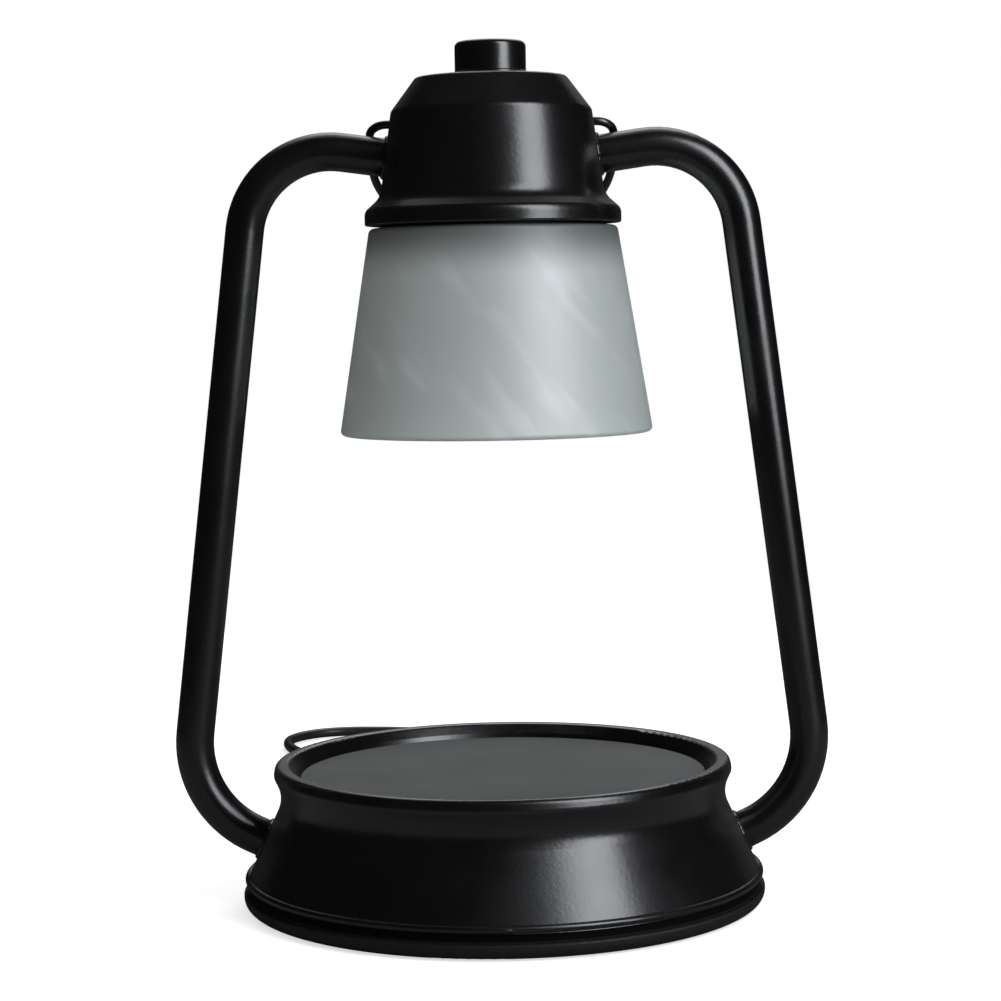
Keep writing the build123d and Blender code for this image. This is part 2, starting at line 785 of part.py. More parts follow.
# ================================================================ leads
# The lamp lead leaves the junction block, climbs inside the left arm and ends in the lamp holder. Two
# short leads join the holder and the dimmer.
lead_turn = (
    cone_radius(arm_base_height) - (arm_base_height - lead_level) / tan(cone_lean),
    lead_level,
)
lead_corners = [
    (block_width / 2 - lead_entry, lead_level),
    lead_turn,
    foot_corner,
    shoulder_corner,
    past_port((wall_radius(arm_head_height) - holder_radius / 2) / cos(wall_lean)),
]
with BuildPart() as lamp_lead:
    with BuildLine(Plane.XZ) as lead_line:
        FilletPolyline(
            *[(-across, up) for across, up in lead_corners],
            radius=[lead_bend, foot_bend, shoulder_bend],
        )
    with BuildSketch(Plane(origin=lead_line.line @ 0, z_dir=lead_line.line % 0)):
        Circle(lead_radius)
    sweep()
    bore(facing(0, 0, holder_face), 0, holder_height, holder_radius)
lamp_lead.part.label = "lamp_lead"
export_step(lamp_lead.part, "parts/lamp_lead.step")

with BuildPart() as switch_leads:
    for side in (-1, 1):
        ring(
            facing(side * lead_radius, 0, holder_top),
            0,
            crown_inside - dimmer_height - holder_top,
            lead_radius / 2,
        )
switch_leads.part.label = "switch_leads"
export_step(switch_leads.part, "parts/switch_leads.step")

# ================================================================ bulb
# Halogen reflector bulb: ceramic neck with two twist-lock pins, glass reflector, capsule and front lens.
neck_bottom = holder_face - bulb_neck_length
lens_top = bulb_front + lens_thickness
capsule_top = neck_bottom - 2 * bulb_wall
with BuildPart() as bulb_neck:
    ring(facing(0, 0, neck_bottom), 0, bulb_neck_length, bulb_neck_radius)
    fillet(bulb_neck.edges().group_by(Axis.Z)[-1], 1.0)
bulb_neck.part.label = "bulb_neck"
export_step(bulb_neck.part, "parts/bulb_neck.step")

with BuildPart() as bulb_pins:
    for side in (-1, 1):
        ring(facing(side * pin_pitch / 2, 0, holder_face), 0, pin_length, pin_radius)
        ring(
            facing(side * pin_pitch / 2, 0, holder_face),
            pin_length - pin_foot,
            pin_length,
            pin_foot_radius,
        )
bulb_pins.part.label = "bulb_pins"
export_step(bulb_pins.part, "parts/bulb_pins.step")

reflector_middle = (lens_top + neck_bottom) / 2
reflector_belly = 0.8  # share of the front radius that the reflector has halfway up
front_radius = bulb_radius - bulb_wall / 2
with BuildPart() as bulb_reflector:
    with BuildSketch(Plane.XZ):
        with BuildLine():
            ThreePointArc(
                (bulb_neck_radius, neck_bottom),
                (reflector_belly * front_radius, reflector_middle),
                (front_radius, lens_top),
            )
            Line((front_radius, lens_top), (front_radius - bulb_wall, lens_top))
            ThreePointArc(
                (front_radius - bulb_wall, lens_top),
                (reflector_belly * front_radius - bulb_wall, reflector_middle - bulb_wall / 2),
                (bulb_neck_radius - bulb_wall, neck_bottom - 2 * bulb_wall),
            )
            Polyline(
                (bulb_neck_radius - bulb_wall, neck_bottom - 2 * bulb_wall),
                (0, neck_bottom - 2 * bulb_wall),
                (0, neck_bottom),
                (bulb_neck_radius, neck_bottom),
            )
        make_face()
    revolve()
bulb_reflector.part.label = "bulb_reflector"
export_step(bulb_reflector.part, "parts/bulb_reflector.step")

with BuildPart() as bulb_capsule:
    turned(
        [
            (0, capsule_top, 0),
            (capsule_radius, capsule_top, 0),
            (capsule_radius, capsule_top - capsule_length, capsule_radius * 0.8),
            (0, capsule_top - capsule_length, 0),
        ]
    )
bulb_capsule.part.label = "bulb_capsule"
export_step(bulb_capsule.part, "parts/bulb_capsule.step")

with BuildPart() as bulb_lens:
    ring(facing(0, 0, bulb_front), 0, lens_thickness, bulb_radius)
    fillet(bulb_lens.edges(), lens_thickness / 4)
bulb_lens.part.label = "bulb_lens"
export_step(bulb_lens.part, "parts/bulb_lens.step")

# ================================================================ shade gallery, gasket, glass and ring
# The gallery closes the head's mouth and carries a threaded collar. The glass hangs by its lip between
# the gasket and the ring that screws onto the collar.
with BuildPart() as shade_gallery:
    ring(
        facing(0, 0, flange_bottom),
        0,
        gallery_sheet,
        flange_inside,
        collar_radius - collar_wall,
    )
    ring(
        facing(0, 0, flange_bottom),
        -collar_drop,
        0,
        collar_radius,
        collar_radius - collar_wall,
    )
shade_gallery.part.label = "shade_gallery"
export_step(shade_gallery.part, "parts/shade_gallery.step")

with BuildPart() as shade_gasket:
    ring(
        facing(0, 0, shade_top),
        0,
        gasket,
        shade_top_radius - shade_shoulder,
        collar_radius + lip_play,
    )
shade_gasket.part.label = "shade_gasket"
export_step(shade_gasket.part, "parts/shade_gasket.step")

glass_across = glass / cos(shade_lean)
lip_bottom = shade_top - glass
lip_radius = shade_top_radius + glass * tan(shade_lean) - glass_across
with BuildPart() as glass_shade:
    turned(
        [
            (collar_radius + lip_play, shade_top, 0.6),
            (shade_top_radius, shade_top, shade_shoulder),
            (shade_mouth_radius, shade_bottom, glass * 0.47),
            (shade_mouth_radius - glass_across, shade_bottom, glass * 0.47),
            (lip_radius, lip_bottom, 1.5),
            (collar_radius + lip_play, lip_bottom, 0.6),
        ]
    )
glass_shade.part.label = "glass_shade"
export_step(glass_shade.part, "parts/glass_shade.step")

with BuildPart() as shade_ring:
    turned(
        [
            (collar_radius, lip_bottom, 0),
            (collar_radius + ring_width, lip_bottom, 0.4),
            (collar_radius + ring_width, lip_bottom - ring_height, 1.2),
            (collar_radius, lip_bottom - ring_height, 0.4),
        ]
    )
shade_ring.part.label = "shade_ring"
export_step(shade_ring.part, "parts/shade_ring.step")

# ================================================================ dimmer
# Rotary dimmer under the crown. Its threaded bushing comes through and is held by a washer and a nut,
# which the knob hides.
shaft_bottom = crown_inside - shaft_inside
with BuildPart() as dimmer_body:
    with BuildSketch(Plane.XY.offset(crown_inside)):
        RectangleRounded(dimmer_width, dimmer_depth, 2.0)
    extrude(amount=-dimmer_height)
    bore(facing(0, 0, shaft_bottom), 0, shaft_inside, shaft_radius + running_fit)
dimmer_body.part.label = "dimmer_body"
export_step(dimmer_body.part, "parts/dimmer_body.step")

with BuildPart() as dimmer_bushing:
    ring(
        facing(0, 0, crown_inside),
        0,
        bushing_top - crown_inside,
        bushing_radius,
        shaft_radius + running_fit,
    )
dimmer_bushing.part.label = "dimmer_bushing"
export_step(dimmer_bushing.part, "parts/dimmer_bushing.step")

with BuildPart() as bushing_washer:
    ring(facing(0, 0, head_top), 0, dimmer_washer, dimmer_washer_radius, bushing_radius)
bushing_washer.part.label = "bushing_washer"
export_step(bushing_washer.part, "parts/bushing_washer.step")

with BuildPart() as bushing_nut:
    hex_nut(facing(0, 0, head_top), dimmer_washer, dimmer_nut, dimmer_nut_flats, bushing_radius)
bushing_nut.part.label = "bushing_nut"
export_step(bushing_nut.part, "parts/bushing_nut.step")

# ================================================================ dimmer shaft and knob
# The shaft turns in the bushing, and its D flat drives the knob that is pushed onto it.
flat_bottom = bushing_top + travel_gap
shaft_top = head_top + shaft_height


def d_section(radius):
    """Round section with a flat, for the shaft's end and for the knob's bore."""
    Circle(radius)
    with Locations((0, radius - shaft_flat)):
        Rectangle(2 * radius, radius, align=(Align.CENTER, Align.MIN), mode=Mode.SUBTRACT)


with BuildPart() as dimmer_shaft:
    ring(facing(0, 0, shaft_bottom), 0, flat_bottom - shaft_bottom, shaft_radius)
    with BuildSketch(Plane.XY.offset(flat_bottom)):
        d_section(shaft_radius)
    extrude(amount=shaft_top - flat_bottom)
dimmer_shaft.part.label = "dimmer_shaft"
export_step(dimmer_shaft.part, "parts/dimmer_shaft.step")

with BuildPart() as knob:
    turned(
        [
            (0, knob_bottom, 0),
            (knob_radius + knob_lip, knob_bottom, 0.3),
            (knob_radius + knob_lip, knob_bottom + knob_lip_height - knob_lip, 0),
            (knob_radius, knob_bottom + knob_lip_height, 0),
            (knob_radius, head_top + knob_height, knob_rounding),
            (0, head_top + knob_height, 0),
        ]
    )
    bore(facing(0, 0, knob_bottom), 0, flat_bottom - knob_bottom, knob_cavity)
    with BuildSketch(Plane.XY.offset(flat_bottom)):
        d_section(shaft_radius)
    extrude(amount=shaft_top - flat_bottom, mode=Mode.SUBTRACT)
knob.part.label = "knob"
export_step(knob.part, "parts/knob.step")

# ================================================================ wire bail
# Carrying handle of one bent wire. Its ends turn in two holes of the head's wall. At rest it hangs back
# and its legs lean on the arms.
arm_under_bail = arm_head_height + (bail_half_width - wall_radius(arm_head_height)) * tan(wall_lean)
bail_lean = asin((tube_radius + wire_radius + bail_rest_gap) / (bail_height - arm_under_bail))
bail_plane = Plane(
    origin=(0, 0, bail_height),
    x_dir=(1, 0, 0),
    z_dir=(0, -cos(bail_lean), -sin(bail_lean)),
)
with BuildPart() as bail_wire:
    with BuildLine(bail_plane) as bail_line:
        FilletPolyline(
            (-bail_inside, 0),
            (-bail_half_width, 0),
            (-bail_half_width, -bail_leg),
            radius=bail_corner,
        )
        ThreePointArc(
            (-bail_half_width, -bail_leg),
            (0, -bail_reach),
            (bail_half_width, -bail_leg),
        )
        FilletPolyline(
            (bail_half_width, -bail_leg),
            (bail_half_width, 0),
            (bail_inside, 0),
            radius=bail_corner,
        )
    with BuildSketch(facing(-bail_inside, 0, bail_height, (-1, 0, 0))):
        Circle(wire_radius)
    sweep()
bail_wire.part.label = "bail_wire"
export_step(bail_wire.part, "parts/bail_wire.step")

# ================================================================ cord
# Route from the boot's tip to the coil: down to the floor, out behind the lamp in a loose loop and back.
cord_route = [
    (0.0, exit_place, lead_level),
    (0.0, exit_place + cord_run_out, lead_level),
    (8.0, 135.5, 10.6),
    (23.0, 154.0, 4.3),
    (40.0, 175.0, floor),
    (47.0, 208.0, floor),
    (41.0, 245.0, floor),
    (18.0, 278.0, floor),
    (-12.0, 304.0, floor),
    (-44.0, 320.0, floor),
    (-76.0, 323.0, floor),
    (-95.0, 302.0, floor),
    (-92.0, 273.0, floor),
    (-78.0, 248.0, floor),
    (-70.0, 221.0, floor),
    (-67.0, 194.0, 3.4),
    (-62.5, 168.0, 6.4),
]
# Route from the coil round to the plug.
tail_route = [
    (-17.8, 166.0, coil_level),
    (-16.8, 182.0, 4.6),
    (-15.0, 199.0, 2.4),
    (-14.4, 214.0, floor),
    (-15.2, 228.0, floor),
    (-9.1, 236.2, floor),
    (0.5, 239.3, 2.8),
    (10.1, 236.2, 4.9),
    (16.0, 228.0, plug_level),
    (16.0, 218.5, plug_level),
]


def cord_bends(route):
    """Radius of the tangent arc at each corner of a route, and the length of its shorter run."""
    places = [Vector(*place) for place in route]
    runs = [after - before for before, after in zip(places, places[1:])]
    bends = []
    for arriving, leaving in zip(runs, runs[1:]):
        turn = radians(arriving.get_angle(leaving))
        bends.append(route_share * min(arriving.length, leaving.length) / tan(turn / 2))
    return bends


for route, name in ((cord_route, "power_cord"), (tail_route, "cord_tail")):
    with BuildPart() as cord:
        with BuildLine() as cord_line:
            FilletPolyline(*route, radius=cord_bends(route))
        with BuildSketch(Plane(origin=cord_line.line @ 0, z_dir=cord_line.line % 0)):
            Circle(cord_radius)
        sweep()
    cord.part.label = name
    export_step(cord.part, f"parts/{name}.step")
    print(name, "bends", [round(bend, 1) for bend in cord_bends(route)])
    length = cord_line.wires()[0].length
    print(name, "length", round(length, 1))
    print(name, "volume share", round(cord.part.volume / (pi * cord_radius**2 * length), 4))

# ================================================================ coil and tie
# The rest of the cord is wound into a neat coil behind the base, and a band holds its turns together.
with BuildPart() as cord_coil:
    with Locations((*coil_centre, coil_level)):
        Torus(coil_radius, bundle_radius)
cord_coil.part.label = "cord_coil"
export_step(cord_coil.part, "parts/cord_coil.step")

tie_turn = degrees(tie_width / coil_radius)
coil_axis = Axis((*coil_centre, 0), (0, 0, 1))
tie_place = Location((*coil_centre, 0), (0, 0, tie_angle))
with BuildPart() as cord_tie:
    with BuildSketch(Plane(tie_place) * Plane.XZ):
        with Locations((coil_radius, coil_level)):
            Circle(bundle_radius + tie_wall)
            Circle(bundle_radius, mode=Mode.SUBTRACT)
    revolve(axis=coil_axis, revolution_arc=tie_turn)
cord_tie.part.label = "cord_tie"
export_step(cord_tie.part, "parts/cord_tie.step")

# ================================================================ plug
# Moulded two-blade plug that lies beside the coil.
plug_across, neck_end, _ = tail_route[-1]
plug_back = neck_end - neck_length
plug_front = plug_back - plug_length
plug_axis = facing(plug_across, plug_front, plug_level, (0, 1, 0))
with BuildPart() as plug_body:
    with BuildSketch(plug_axis):
        RectangleRounded(plug_width, plug_thickness, plug_rounding)
    extrude(amount=plug_length / 2)
    with BuildSketch(plug_axis.offset(plug_length / 2)):
        RectangleRounded(plug_width, plug_thickness, plug_rounding)
    with BuildSketch(plug_axis.offset(plug_length)):
        RectangleRounded(plug_width * 0.6, plug_thickness * 0.8, plug_rounding)
    loft()
    with BuildSketch(plug_axis.offset(plug_length)):
        Circle(neck_root_radius)
    with BuildSketch(plug_axis.offset(plug_length + neck_length)):
        Circle(neck_tip_radius)
    loft()
    with BuildSketch(plug_axis):
        with GridLocations(blade_pitch, 1, 2, 1):
            Rectangle(blade_thickness, blade_width)
    extrude(amount=blade_root, mode=Mode.SUBTRACT)
plug_body.part.label = "plug_body"
export_step(plug_body.part, "parts/plug_body.step")

with BuildPart() as plug_blades:
    with BuildSketch(plug_axis.offset(blade_root)):
        with GridLocations(blade_pitch, 1, 2, 1):
            Rectangle(blade_thickness, blade_width)
    extrude(amount=-blade_root - blade_length)
    tips = plug_blades.edges().filter_by(Axis.X).group_by(Axis.Y)[0]
    chamfer(tips, blade_thickness)
plug_blades.part.label = "plug_blades"
export_step(plug_blades.part, "parts/plug_blades.step")

print("bail leans back", round(degrees(bail_lean), 3), "and swings", round(360 - 2 * degrees(bail_lean), 3))
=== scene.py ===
# Candle warmer lamp: the finishes of its solids, and the glass, the cord and the small pressed and moulded
# forms that go over them. Metres, +Z up, with the front of the lamp towards -Y.
from math import atan2, cos, hypot, pi, radians, sin, sqrt, tan

import bmesh
import bpy
from mathutils import Matrix, Vector


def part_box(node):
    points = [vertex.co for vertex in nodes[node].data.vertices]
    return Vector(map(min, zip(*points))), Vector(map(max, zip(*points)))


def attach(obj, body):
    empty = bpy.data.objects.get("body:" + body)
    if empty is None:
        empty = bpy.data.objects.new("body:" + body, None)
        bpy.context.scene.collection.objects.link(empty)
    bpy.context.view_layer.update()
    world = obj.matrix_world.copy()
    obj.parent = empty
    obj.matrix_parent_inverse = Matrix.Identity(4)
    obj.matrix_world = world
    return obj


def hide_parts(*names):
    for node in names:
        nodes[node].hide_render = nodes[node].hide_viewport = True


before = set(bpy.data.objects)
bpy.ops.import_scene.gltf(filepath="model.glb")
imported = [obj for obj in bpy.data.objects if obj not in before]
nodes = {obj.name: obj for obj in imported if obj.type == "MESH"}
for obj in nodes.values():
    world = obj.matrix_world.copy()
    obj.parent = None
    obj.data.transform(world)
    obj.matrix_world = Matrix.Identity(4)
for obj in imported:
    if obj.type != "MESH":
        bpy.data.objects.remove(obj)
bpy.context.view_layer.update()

# ---------------------------------------------------------------- camera
# A long lens in front of the lamp, at the height of its shade, looking slightly down. It is turned a
# degree about its own axis.
camera_place = (0.0008, -0.820, 0.1894)
camera_tilt = radians(85.58)
camera_roll = radians(-1.0)
camera_lens = bpy.data.cameras.new("camera")
camera_lens.lens = 94.33
camera_lens.sensor_width = 36.0
camera = bpy.data.objects.new("camera", camera_lens)
camera.matrix_world = (
    Matrix.Translation(camera_place)
    @ Matrix.Rotation(camera_tilt, 4, "X")
    @ Matrix.Rotation(camera_roll, 4, "Z")
)
bpy.context.scene.collection.objects.link(camera)
bpy.context.scene.camera = camera
bpy.context.scene.view_settings.view_transform = "Standard"


# ---------------------------------------------------------------- surroundings
# A white room for the eye. Glass sees a white wall behind the lamp, and gloss sees a white panel high on
# that wall. The rest of the room is dark to both, so that the black coat stays black, and it lights matt
# faces evenly.
class Signal:
    """A socket of a node tree. Arithmetic on it adds Math nodes, and node() adds any other node."""

    def __init__(self, tree, socket=None):
        self.tree = tree
        self.socket = socket

    def node(self, kind, settings=None, inputs=None, output=0):
        """Add a node, set it up, feed its inputs, and return one of its outputs."""
        made = self.tree.nodes.new(kind)
        for name, value in (settings or {}).items():
            setattr(made, name, value)
        for key, value in (inputs or {}).items():
            if isinstance(value, Signal):
                self.tree.links.new(value.socket, made.inputs[key])
            else:
                made.inputs[key].default_value = value
        return Signal(self.tree, made.outputs[output] if made.outputs else None)

    def math(self, operation, first, second=0.0):
        return self.node("ShaderNodeMath", {"operation": operation}, {0: first, 1: second})

    def __add__(self, other):
        return self.math("ADD", self, other)

    def __radd__(self, other):
        return self.math("ADD", other, self)

    def __sub__(self, other):
        return self.math("SUBTRACT", self, other)

    def __rsub__(self, other):
        return self.math("SUBTRACT", other, self)

    def __mul__(self, other):
        return self.math("MULTIPLY", self, other)

    def __rmul__(self, other):
        return self.math("MULTIPLY", other, self)


def fade(signal, start, end, low=0.0, high=1.0):
    """Smooth change from low to high while the signal goes from start to end."""
    ends = {"Value": signal, "From Min": start, "From Max": end, "To Min": low, "To Max": high}
    return signal.node("ShaderNodeMapRange", {"interpolation_type": "SMOOTHSTEP"}, ends)


ambient = 0.44
dark_room = 0.010
panel_level = 0.8
panel_direction = (0.0, 0.57, 0.82)
room = bpy.data.worlds.new("room")
room.use_nodes = True
room.node_tree.nodes.clear()
bpy.context.scene.world = room
sky = Signal(room.node_tree)
towards = sky.node("ShaderNodeTexCoord", output=0)
back_share = sky.node("ShaderNodeSeparateXYZ", inputs={0: towards}, output=1)
white_wall = fade(back_share, 0.72, 0.86, dark_room, 1.0)
panel_share = sky.node(
    "ShaderNodeVectorMath",
    {"operation": "DOT_PRODUCT"},
    {0: towards, 1: panel_direction},
    output=1,
)
white_panel = fade(panel_share, 0.86, 0.96, dark_room, panel_level)
seen = sky.node("ShaderNodeLightPath", output=0)
mirrored = sky.node("ShaderNodeLightPath", output=3)
through = sky.node("ShaderNodeLightPath", output=6)
matt = 1 - sky.math("MAXIMUM", mirrored, through)
level = seen + (1 - seen) * (mirrored * white_panel + through * white_wall + matt * ambient)
white = sky.node("ShaderNodeBackground", inputs={"Color": (1, 1, 1, 1), "Strength": level})
sky.node("ShaderNodeOutputWorld", inputs={0: white})

# ---------------------------------------------------------------- lights
# A tall softbox to the front right, which draws one soft band on every round form, and a weaker one high
# behind the lamp, which shapes its back. Both are slightly cool, like window light.
window_light = (0.92, 0.95, 1.0)
lamp_middle = Vector((0, 0, 0.13))
for name, azimuth, elevation, away, size, power in (
    ("key_softbox", 44.2, 28.0, 0.90, (0.42, 0.86), 5.9),
    ("back_softbox", 176, 42, 1.00, (0.60, 0.70), 2.4),
):
    light = bpy.data.lights.new(name, "AREA")
    light.shape = "RECTANGLE"
    light.size, light.size_y = size
    light.energy = power
    light.color = window_light
    softbox = bpy.data.objects.new(name, light)
    outward = Vector(
        (
            cos(radians(elevation)) * sin(radians(azimuth)),
            -cos(radians(elevation)) * cos(radians(azimuth)),
            sin(radians(elevation)),
        )
    )
    facing = outward.to_track_quat("Z", "Y").to_matrix().to_4x4()
    softbox.matrix_world = Matrix.Translation(lamp_middle + away * outward) @ facing
    softbox.visible_camera = False
    bpy.context.scene.collection.objects.link(softbox)


# ---------------------------------------------------------------- floor
# A plain white tabletop that keeps the lamp's soft shadow. To gloss it is dim, like the rest of the room.
def new_piece(name, build):
    """Object of the mesh that build puts into an empty bmesh, linked to the scene, shaded smooth."""
    shape = bmesh.new()
    build(shape)
    bmesh.ops.recalc_face_normals(shape, faces=shape.faces)
    mesh = bpy.data.meshes.new(name)
    shape.to_mesh(mesh)
    shape.free()
    mesh.shade_smooth()
    piece = bpy.data.objects.new(name, mesh)
    bpy.context.scene.collection.objects.link(piece)
    return piece


def tint(mask, low, high):
    """Colour that goes from low to high with the mask. Low is a colour or a signal of one."""
    start = low if isinstance(low, Signal) else (*low, 1)
    ends = {0: mask, 6: start, 7: (*high, 1)}
    return mask.node("ShaderNodeMix", {"data_type": "RGBA"}, ends, output=2)


floor_radius = 0.6
floor_place = (0, 0.12, -0.0004)
floor = new_piece(
    "floor",
    lambda shape: bmesh.ops.create_circle(
        shape,
        cap_ends=True,
        segments=96,
        radius=floor_radius,
        matrix=Matrix.Translation(floor_place),
    ),
)
tabletop = bpy.data.materials.new("tabletop")
tabletop.use_nodes = True
tabletop.node_tree.nodes.clear()
top = Signal(tabletop.node_tree)
in_gloss = top.node("ShaderNodeLightPath", output=3)
whiteness = tint(in_gloss, (0.8, 0.8, 0.8), (0.15, 0.15, 0.15))
paint = top.node("ShaderNodeBsdfDiffuse", inputs={"Color": whiteness})
glow = top.node(
    "ShaderNodeEmission",
    inputs={"Strength": 0.62 * top.node("ShaderNodeLightPath", output=0)},
)
both = top.node("ShaderNodeAddShader", inputs={0: paint, 1: glow})
top.node("ShaderNodeOutputMaterial", inputs={0: both})
floor.data.materials.append(tabletop)


# ---------------------------------------------------------------- base shell and head housing
# Spun steel under a satin black powder coat. The coat has a fine orange peel, its gloss drifts a little
# in patches, which clouds the highlight, and it is duller at a glancing angle.
def finish(name, **constants):
    """Give the named material a Principled shader with these constants. Returns the shader and the place
    on the surface in metres."""
    material = bpy.data.materials.get(name) or bpy.data.materials.new(name)
    material.use_nodes = True
    tree = material.node_tree
    tree.nodes.clear()
    shader = tree.nodes.new("ShaderNodeBsdfPrincipled")
    for socket, value in constants.items():
        shader.inputs[socket.replace("_", " ")].default_value = value
    output = tree.nodes.new("ShaderNodeOutputMaterial")
    tree.links.new(shader.outputs[0], output.inputs[0])
    return shader, Signal(tree).node("ShaderNodeTexCoord", output=3)


def feed(shader, **signals):
    """Link signals to a shader's sockets."""
    for socket, signal in signals.items():
        signal.tree.links.new(signal.socket, shader.inputs[socket.replace("_", " ")])


def grain(place, size, detail=2.0):
    """Noise from 0 to 1 in patches of about this size in metres."""
    return place.node("ShaderNodeTexNoise", inputs={"Vector": place, "Scale": 0.5 / size, "Detail": detail})


def relief(height, depth):
    """Surface normal of a relief this deep in metres."""
    return height.node("ShaderNodeBump", inputs={"Strength": 1.0, "Distance": depth, "Height": height})


shader, place = finish("black_coat", Specular_IOR_Level=1.0)
clouds = grain(place, 0.012, 3.0)
glancing = fade(place.node("ShaderNodeLayerWeight", inputs={"Blend": 0.5}, output=1), 0.55, 0.85)
feed(
    shader,
    Base_Color=tint(clouds, (0.0015, 0.0015, 0.0018), (0.0026, 0.0026, 0.0030)),
    Roughness=fade(clouds, 0.25, 0.75, 0.23, 0.31) + 0.3 * glancing,
    Normal=relief(grain(place, 0.0007), 0.00003),
)


# ---------------------------------------------------------------- bottom cover
# Pressed pan under the same coat, but flat and dull from the press. Its skirt lies in the groove over
# the foot ring, and its colour is painted far darker than the underside: painted shade of the groove.
def height_of(place):
    """Height of a place on the surface in metres."""
    return place.node("ShaderNodeSeparateXYZ", inputs={0: place}, output=2)


cover_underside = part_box("bottom_cover")[0].z
shader, place = finish("cover_coat", Specular_IOR_Level=0.1)
# Painted shade: above the underside, the skirt in the groove gets a far darker colour.
painted_groove_shade = fade(height_of(place), cover_underside + 0.0002, cover_underside + 0.0008)
feed(
    shader,
    Base_Color=tint(painted_groove_shade, (0.011, 0.011, 0.012), (0.0012, 0.0012, 0.0014)),
    Roughness=fade(grain(place, 0.010), 0.3, 0.7, 0.72, 0.85),
    Normal=relief(grain(place, 0.0006), 0.00003),
)
nodes["bottom_cover"].material_slots[0].material = bpy.data.materials["cover_coat"]

# ---------------------------------------------------------------- top plate
# Pressed disc under matte dark grey paint, with the faint rubs that jars leave on it.
shader, place = finish("plate_coat", Specular_IOR_Level=0.25)
rubs = grain(place, 0.020, 5.0)
feed(
    shader,
    Base_Color=tint(rubs, (0.070, 0.074, 0.072), (0.094, 0.098, 0.095)),
    Roughness=fade(rubs, 0.3, 0.7, 0.62, 0.78),
    Normal=relief(grain(place, 0.0005), 0.00005),
)

# ---------------------------------------------------------------- rubber
# Moulded black rubber of the foot ring, the strain relief, the gasket and the cord's tie: matte, with a
# fine pitted skin.
shader, place = finish("dark_rubber", Specular_IOR_Level=0.35)
pits = grain(place, 0.0006, 4.0)
feed(
    shader,
    Base_Color=tint(pits, (0.005, 0.005, 0.0055), (0.010, 0.010, 0.0105)),
    Roughness=fade(grain(place, 0.009), 0.3, 0.7, 0.50, 0.66),
    Normal=relief(pits, 0.00008),
)

# ---------------------------------------------------------------- weight
# Sand-cast iron ring with a rough grey skin.
shader, place = finish("weight_iron", Metallic=0.85)
sand = grain(place, 0.0011, 5.0)
feed(
    shader,
    Base_Color=tint(sand, (0.09, 0.088, 0.088), (0.19, 0.187, 0.185)),
    Roughness=fade(sand, 0.3, 0.7, 0.55, 0.78),
    Normal=relief(sand, 0.0003),
)

# ---------------------------------------------------------------- zinc plate
# Screws, studs, nuts, washers, posts and the bracket: zinc-plated steel, with the faint spangle and the
# cold blue cast of the plating.
shader, place = finish("zinc_steel", Metallic=1.0)
spangle = place.node("ShaderNodeTexVoronoi", inputs={"Vector": place, "Scale": 600.0})
feed(
    shader,
    Base_Color=tint(spangle, (0.55, 0.56, 0.59), (0.68, 0.68, 0.67)),
    Roughness=fade(grain(place, 0.003, 4.0), 0.3, 0.7, 0.28, 0.42),
    Normal=relief(grain(place, 0.0004), 0.00002),
)

# ---------------------------------------------------------------- cover screws
# Zinc-plated pan-head screws, four through the cover into its posts and two into the weight. The cross
# recess of each head is pressed in, and narrows towards its floor.
screws_low, screws_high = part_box("cover_screws")
head_radius = 0.0036
head_level = screws_low.z + 0.0022
head_bends = [(0.0, 0.0008), (0.0003, 0.0015), (0.0008, 0.0020)]  # in and down from its upper edge
head_flat_radius = head_radius - 0.0014
shank_radius = 0.0020
tip_radius = shank_radius - 0.0004
tip_chamfer = 0.0005
recess_reach = 0.0019
recess_half_width = 0.00045
recess_depth = 0.0012
recess_taper = 0.7
screw_outline = [
    (tip_radius, screws_high.z),
    (shank_radius, screws_high.z - tip_chamfer),
    (shank_radius, head_level),
    (head_radius, head_level),
    *[(head_radius - inset, head_level - drop) for inset, drop in head_bends],
    (head_flat_radius, screws_low.z),
]


def skin(shape, rings, closed=False):
    """Add the faces between rings of points to a bmesh. An open skin gets a flat face at each end."""
    loops = [[shape.verts.new(spot) for spot in ring] for ring in rings]
    pairs = list(zip(loops, loops[1:]))
    if closed:
        pairs.append((loops[-1], loops[0]))
    else:
        shape.faces.new(loops[0])
        shape.faces.new(loops[-1])
    for low, high in pairs:
        for side in range(len(low)):
            after = (side + 1) % len(low)
            shape.faces.new((low[side], low[after], high[after], high[side]))


def plate_reach(turn, walls):
    """Distance from the middle of a convex plate to its edge in one direction. Each wall is the direction
    that it faces and its distance from the middle."""
    return min(away / cos(turn - facing) for facing, away in walls if cos(turn - facing) > 0.01)


def cross_reach(turn):
    """Distance from the middle of the cross recess to its wall in one direction."""
    faces = [quarter * pi / 2 for quarter in range(4)]
    first_slot = list(zip(faces, 2 * (recess_reach, recess_half_width)))
    second_slot = list(zip(faces, 2 * (recess_half_width, recess_reach)))
    return max(plate_reach(turn, first_slot), plate_reach(turn, second_slot))


slot_corner = atan2(recess_half_width, recess_reach)
quadrant = (0, slot_corner, pi / 8, pi / 4, 3 * pi / 8, pi / 2 - slot_corner)
head_turns = [quarter * pi / 2 + turn for quarter in range(4) for turn in quadrant]
screw_rings = [([radius] * len(head_turns), level) for radius, level in screw_outline]
for share, level in ((1.0, screws_low.z), (recess_taper, screws_low.z + recess_depth)):
    screw_rings.append(([share * cross_reach(turn) for turn in head_turns], level))
post_circle = (screws_high.x - head_radius) / cos(pi / 4)
weight_circle = 0.037
screw_places = [(post_circle, 45), (post_circle, 135), (post_circle, 225), (post_circle, 315)]
screw_places += [(weight_circle, 25), (weight_circle, 205)]


